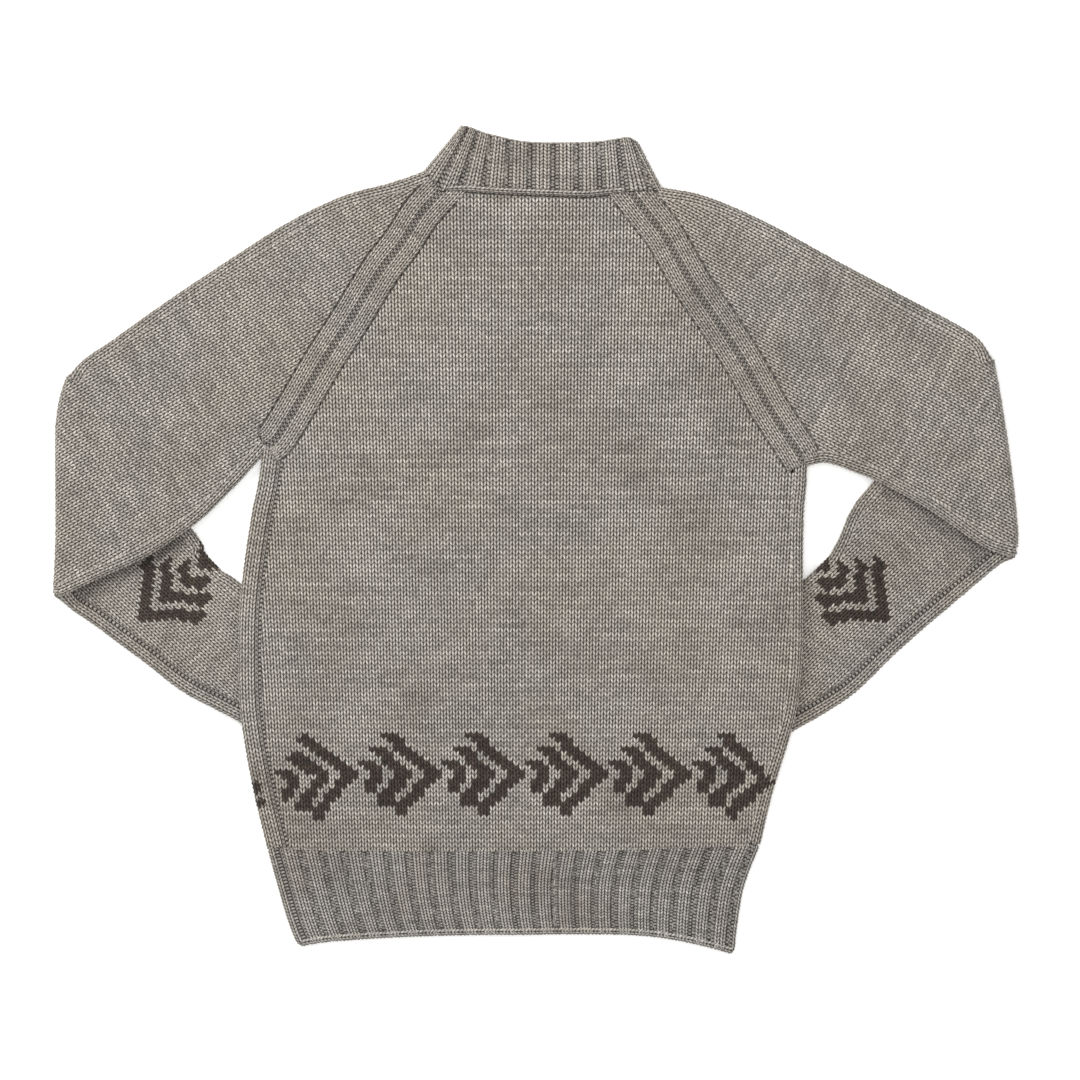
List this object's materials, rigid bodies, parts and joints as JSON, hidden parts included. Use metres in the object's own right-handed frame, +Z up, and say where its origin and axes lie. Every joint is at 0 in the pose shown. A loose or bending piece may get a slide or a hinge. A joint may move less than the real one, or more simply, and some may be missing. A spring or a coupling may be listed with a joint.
{
  "type": "zip-up sweater",
  "caption": "Heavy knitted raglan sweater with a front zip, ribbed collar, cuffs and hem and a band of arrows, laid face down with its sleeves folded under its body.",
  "frame": {"origin": "on the surface the garment lies on, under the middle of its plan outline", "axes": "+Z up off the surface, +Y towards the collar, +X towards the wearer's right side, because the back lies on top"},
  "size_m": [0.87, 0.7456, 0.0158],
  "materials": {
    "wool_knit": "heathered oatmeal wool, stocking stitch with brown arrows",
    "wool_rib": "heathered oatmeal wool, rib",
    "zip_tape": "woven cotton tape",
    "zip_metal": "dull nickel plate"
  },
  "bodies": {
    "garment": {"back": "wool_knit", "left_front": "wool_knit", "right_front": "wool_knit", "left_sleeve": "wool_knit", "right_sleeve": "wool_knit", "back_welt": "wool_rib", "left_front_welt": "wool_rib", "right_front_welt": "wool_rib", "left_cuff": "wool_rib", "right_cuff": "wool_rib", "collar": "wool_rib", "zip_tape_left": "zip_tape", "zip_tape_right": "zip_tape", "zip_chain": "zip_metal", "zip_slider": "zip_metal", "zip_box": "zip_metal"},
    "pull_tab": {"zip_pull_tab": "zip_metal"}
  },
  "joints": [
    {"name": "pull_tab_hinge", "type": "hinge", "parent": "garment", "child": "pull_tab", "pos_m": [0.00074, 0.28282, 0.00175], "axis": [0.9996, -0.0272, 0], "range_deg": [0, 170]}
  ]
}
